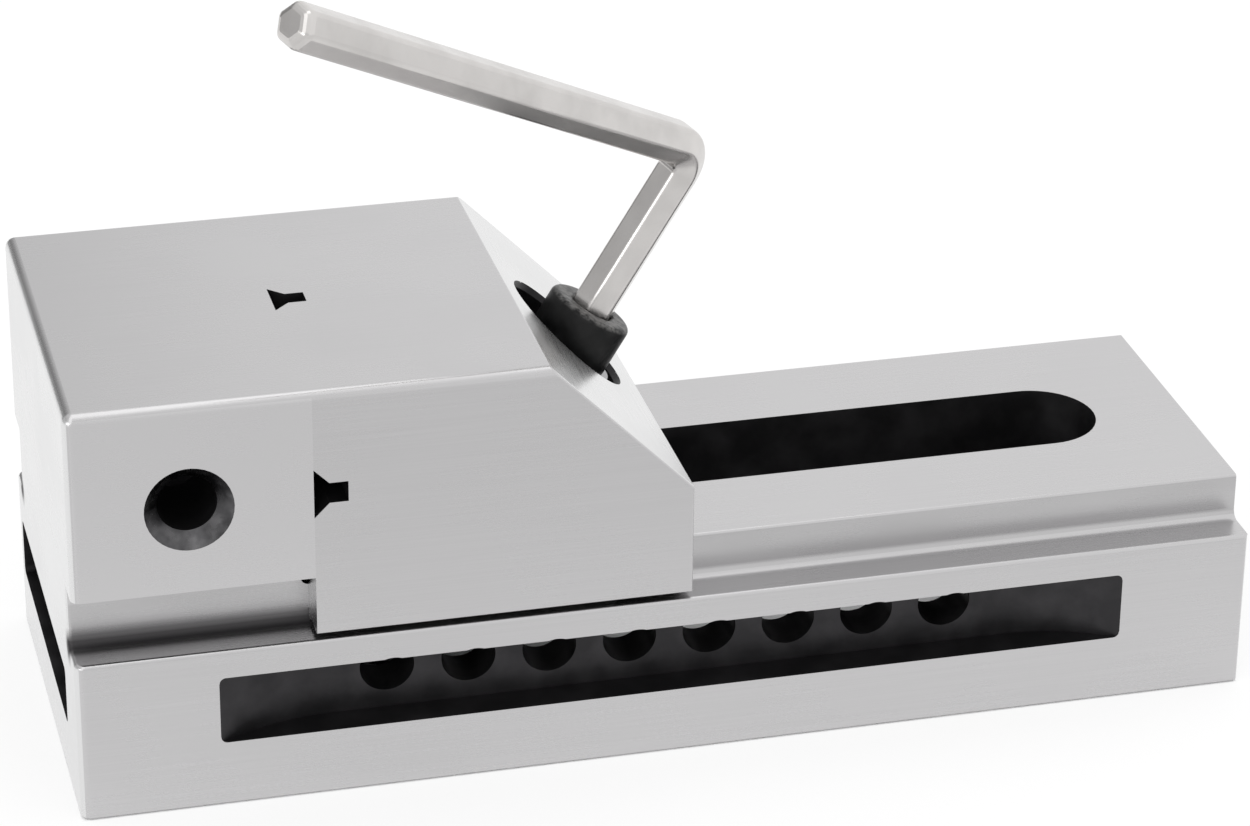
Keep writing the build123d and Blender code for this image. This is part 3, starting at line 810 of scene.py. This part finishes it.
def key_line():
    """The bar's middle line, from its toe in the socket to the corner and on to the tip."""
    toe = BALL_CENTRE - UP_SCREW * KEY_IN_SOCKET
    corner = BALL_CENTRE + UP_SCREW * KEY_RISE
    tip = corner + ALONG_ARM * (KEY_ARM - TIP_CUT)
    rounded_end = []
    for i in range(END_STEPS + 1):
        turn = math.pi / 2 * i / END_STEPS
        narrower = KEY_END_ROUND * (1 - math.sin(turn))
        rounded_end.append((KEY_END_ROUND * (1 - math.cos(turn)), 1 - 2 * narrower / KEY_FLATS))
    stations = [(toe + UP_SCREW * along, width) for along, width in rounded_end]
    stations.append((corner, 1))
    stations += [(tip - ALONG_ARM * along, width) for along, width in reversed(rounded_end)]
    line = bpy.data.curves.new("key_line", "CURVE")
    line.dimensions = "3D"
    spline = line.splines.new("POLY")
    spline.points.add(len(stations) - 1)
    for point, (place, width) in zip(spline.points, stations):
        point.co = (*place, 1)
        point.radius = width
    return bpy.data.objects.new("key_line", line)


def keep_flats_flat(mesh):
    """Sets normals by area, so that the wide flats stay flat and the narrow roundings do the turning."""
    sums = [Vector() for _ in mesh.vertices]
    for face in mesh.polygons:
        if len(face.vertices) == 4:
            for corner in face.vertices:
                sums[corner] += face.normal * face.area
    normals = []
    for face in mesh.polygons:
        is_side = len(face.vertices) == 4
        normals += [sums[corner].normalized() if is_side else face.normal for corner in face.vertices]
    mesh.normals_split_custom_set([tuple(normal) for normal in normals])


key_mesh = grow(
    key_tree(), key_line(), "bent_key", bright_plate,
    Flats=KEY_FLATS, Rounding=KEY_CORNER_ROUNDING, Bend_Radius=KEY_BEND_RADIUS, Turn=math.radians(30),
)
keep_flats_flat(key_mesh)
bent_key = add_piece(key_mesh, "bent_key", bright_plate, "screw", "hex_key")
print("key has", len(key_mesh.polygons), "faces")

# %% [markdown]
# The vise stands on a plain pale floor that runs up to white. The floor still catches a soft
# shadow: it is partly a matt surface and partly its own white, which only the camera, a polished
# face or glass can see, so none of that white lights the vise. Polished faces would look flat in an
# even white, so they mirror a world that is a little darker at the left and has two grey cards in
# it. A card is a direction, the cosine of the angle to its edge, and how dark its middle is.

# %% Lay the floor and the world
FLOOR_HALF = 4.0
FLOOR_LEVEL = 0.01 * MM
FLOOR_COLOUR = (0.93, 0.93, 0.93)
OWN_WHITE = 0.72
FRONT_SHADED_WHITE = 0.74
FRONT_REACH = 0.1
WORLD_LEVEL = 1.08
LEFT_LEVEL = 0.78
LEFT_UNTIL, WHITE_FROM = 0.07, 0.15
BACK_CARD = (Vector((-0.44, 0.868, 0.2)).normalized(), 0.82, 0.65)
LEFT_CARD = (Vector((-0.95, 0.12, 0.285)).normalized(), 0.75, 0.3)
CARD_CORE = 0.98


def beside_the_vise(tree, place):
    """0 on the floor under the vise, which is in its shade, and 1 on the rest of the floor."""
    past_end = math_node(tree, "GREATER_THAN", math_node(tree, "ABSOLUTE", place.outputs["X"]), body_high.x)
    past_side = math_node(tree, "GREATER_THAN", math_node(tree, "ABSOLUTE", place.outputs["Y"]), body_high.y)
    return math_node(tree, "MAXIMUM", past_end, past_side)


def seen_directly(tree):
    """1 for a ray from the camera, a reflection or a refraction, and 0 for one that carries light."""
    path = add_node(tree, "LightPath")
    either = math_node(tree, "MAXIMUM", path.outputs["Is Camera Ray"], path.outputs["Is Glossy Ray"])
    return math_node(tree, "MAXIMUM", either, path.outputs["Is Transmission Ray"])


def make_floor():
    """A wide sheet, partly matt and partly its own white, that is no part of the vise."""
    paper = bpy.data.materials.new("paper")
    paper.use_nodes = True
    tree = paper.node_tree
    tree.nodes.clear()
    place = add_node(tree, "SeparateXYZ", Vector=add_node(tree, "TexCoord").outputs["Object"])
    matt = add_node(tree, "BsdfDiffuse", Color=(*FLOOR_COLOUR, 1))
    # Painted shade: polished faces see the floor's own white dimmer in front of the vise.
    dimmed_in_front = spread(tree, place.outputs["Y"], body_low.y - FRONT_REACH, body_low.y, FRONT_SHADED_WHITE, 1)
    from_camera = add_node(tree, "LightPath").outputs["Is Camera Ray"]
    level = math_node(tree, "MAXIMUM", dimmed_in_front, from_camera)
    white = add_node(tree, "Emission", Color=(1, 1, 1, 1), Strength=level)
    open_floor = math_node(tree, "MULTIPLY", seen_directly(tree), beside_the_vise(tree, place))
    blend = add_node(tree, "MixShader", Fac=math_node(tree, "MULTIPLY", open_floor, OWN_WHITE))
    tree.links.new(matt.outputs[0], blend.inputs[1])
    tree.links.new(white.outputs[0], blend.inputs[2])
    output = tree.nodes.new("ShaderNodeOutputMaterial")
    tree.links.new(blend.outputs[0], output.inputs["Surface"])
    mesh = bpy.data.meshes.new("floor")
    signs = ((-1, -1), (1, -1), (1, 1), (-1, 1))
    corners = [(x * FLOOR_HALF, y * FLOOR_HALF, FLOOR_LEVEL) for x, y in signs]
    mesh.from_pydata(corners, [], [(0, 1, 2, 3)])
    mesh.materials.append(paper)
    floor = bpy.data.objects.new("floor", mesh)
    bpy.context.scene.collection.objects.link(floor)


def card(tree, direction, towards, edge, darkness):
    """1 in most directions, and darker towards a grey card. A smaller cosine makes a wider card."""
    agree = add_node(tree, "VectorMath", operation="DOT_PRODUCT")
    tree.links.new(direction, agree.inputs[0])
    agree.inputs[1].default_value = towards
    return spread(tree, agree.outputs["Value"], edge, CARD_CORE, 1.0, 1.0 - darkness)


def mirrored_world(tree):
    """The white that polished faces show: a little less towards the left, and two grey cards."""
    direction = add_node(tree, "TexCoord").outputs["Generated"]
    across = add_node(tree, "SeparateXYZ", Vector=direction)
    level = spread(tree, across.outputs["X"], LEFT_UNTIL, WHITE_FROM, LEFT_LEVEL, 1.0)
    for towards, edge, darkness in (BACK_CARD, LEFT_CARD):
        level = math_node(tree, "MULTIPLY", level, card(tree, direction, towards, edge, darkness))
    return level


def make_world():
    """White light from all round, and the white that the camera and polished faces see."""
    world = bpy.data.worlds.new("studio")
    bpy.context.scene.world = world
    world.use_nodes = True
    tree = world.node_tree
    tree.nodes.clear()
    light = add_node(tree, "Background", Color=(1, 1, 1, 1), Strength=WORLD_LEVEL)
    white = add_node(tree, "Background", Color=(1, 1, 1, 1), Strength=1.0)
    from_camera = add_node(tree, "LightPath").outputs["Is Camera Ray"]
    put(tree, math_node(tree, "MAXIMUM", mirrored_world(tree), from_camera), white.inputs["Strength"])
    blend = add_node(tree, "MixShader", Fac=seen_directly(tree))
    tree.links.new(light.outputs[0], blend.inputs[1])
    tree.links.new(white.outputs[0], blend.inputs[2])
    output = tree.nodes.new("ShaderNodeOutputWorld")
    tree.links.new(blend.outputs[0], output.inputs["Surface"])


make_floor()
make_world()
print("floor and world are white")

# %% [markdown]
# Polished faces show what they face, so the lamps are placed by reflection. A tall softbox high in
# front draws the soft band along the rounded top edge of the jaws, and it stands to the left, so
# the band fades along the sliding jaw. A small one low at the left lights the key's ridge.

# %% Hang the lamps


def hang_softbox(name, towards, distance, width, height, watts):
    """A lamp of this width and height at some distance from the vise, turned to face it."""
    lamp = bpy.data.lights.new(name, "AREA")
    lamp.shape = "RECTANGLE"
    lamp.size = width
    lamp.size_y = height
    lamp.energy = watts
    holder = bpy.data.objects.new(name, lamp)
    direction = Vector(towards).normalized()
    turn = (-direction).to_track_quat("-Z", "Y").to_matrix().to_4x4()
    holder.matrix_world = Matrix.Translation(direction * distance) @ turn
    bpy.context.scene.collection.objects.link(holder)


hang_softbox("front_softbox", towards=(-0.22, -0.44, 0.87), distance=1.0, width=0.46, height=3.0, watts=3.0)
hang_softbox("left_softbox", towards=(-0.74, -0.64, 0.18), distance=1.0, width=0.45, height=0.3, watts=1.0)
print("lamps hung")

# %% [markdown]
# The plain Standard view shows colours as they were written.

# %% Finish
bpy.context.scene.view_settings.view_transform = "Standard"
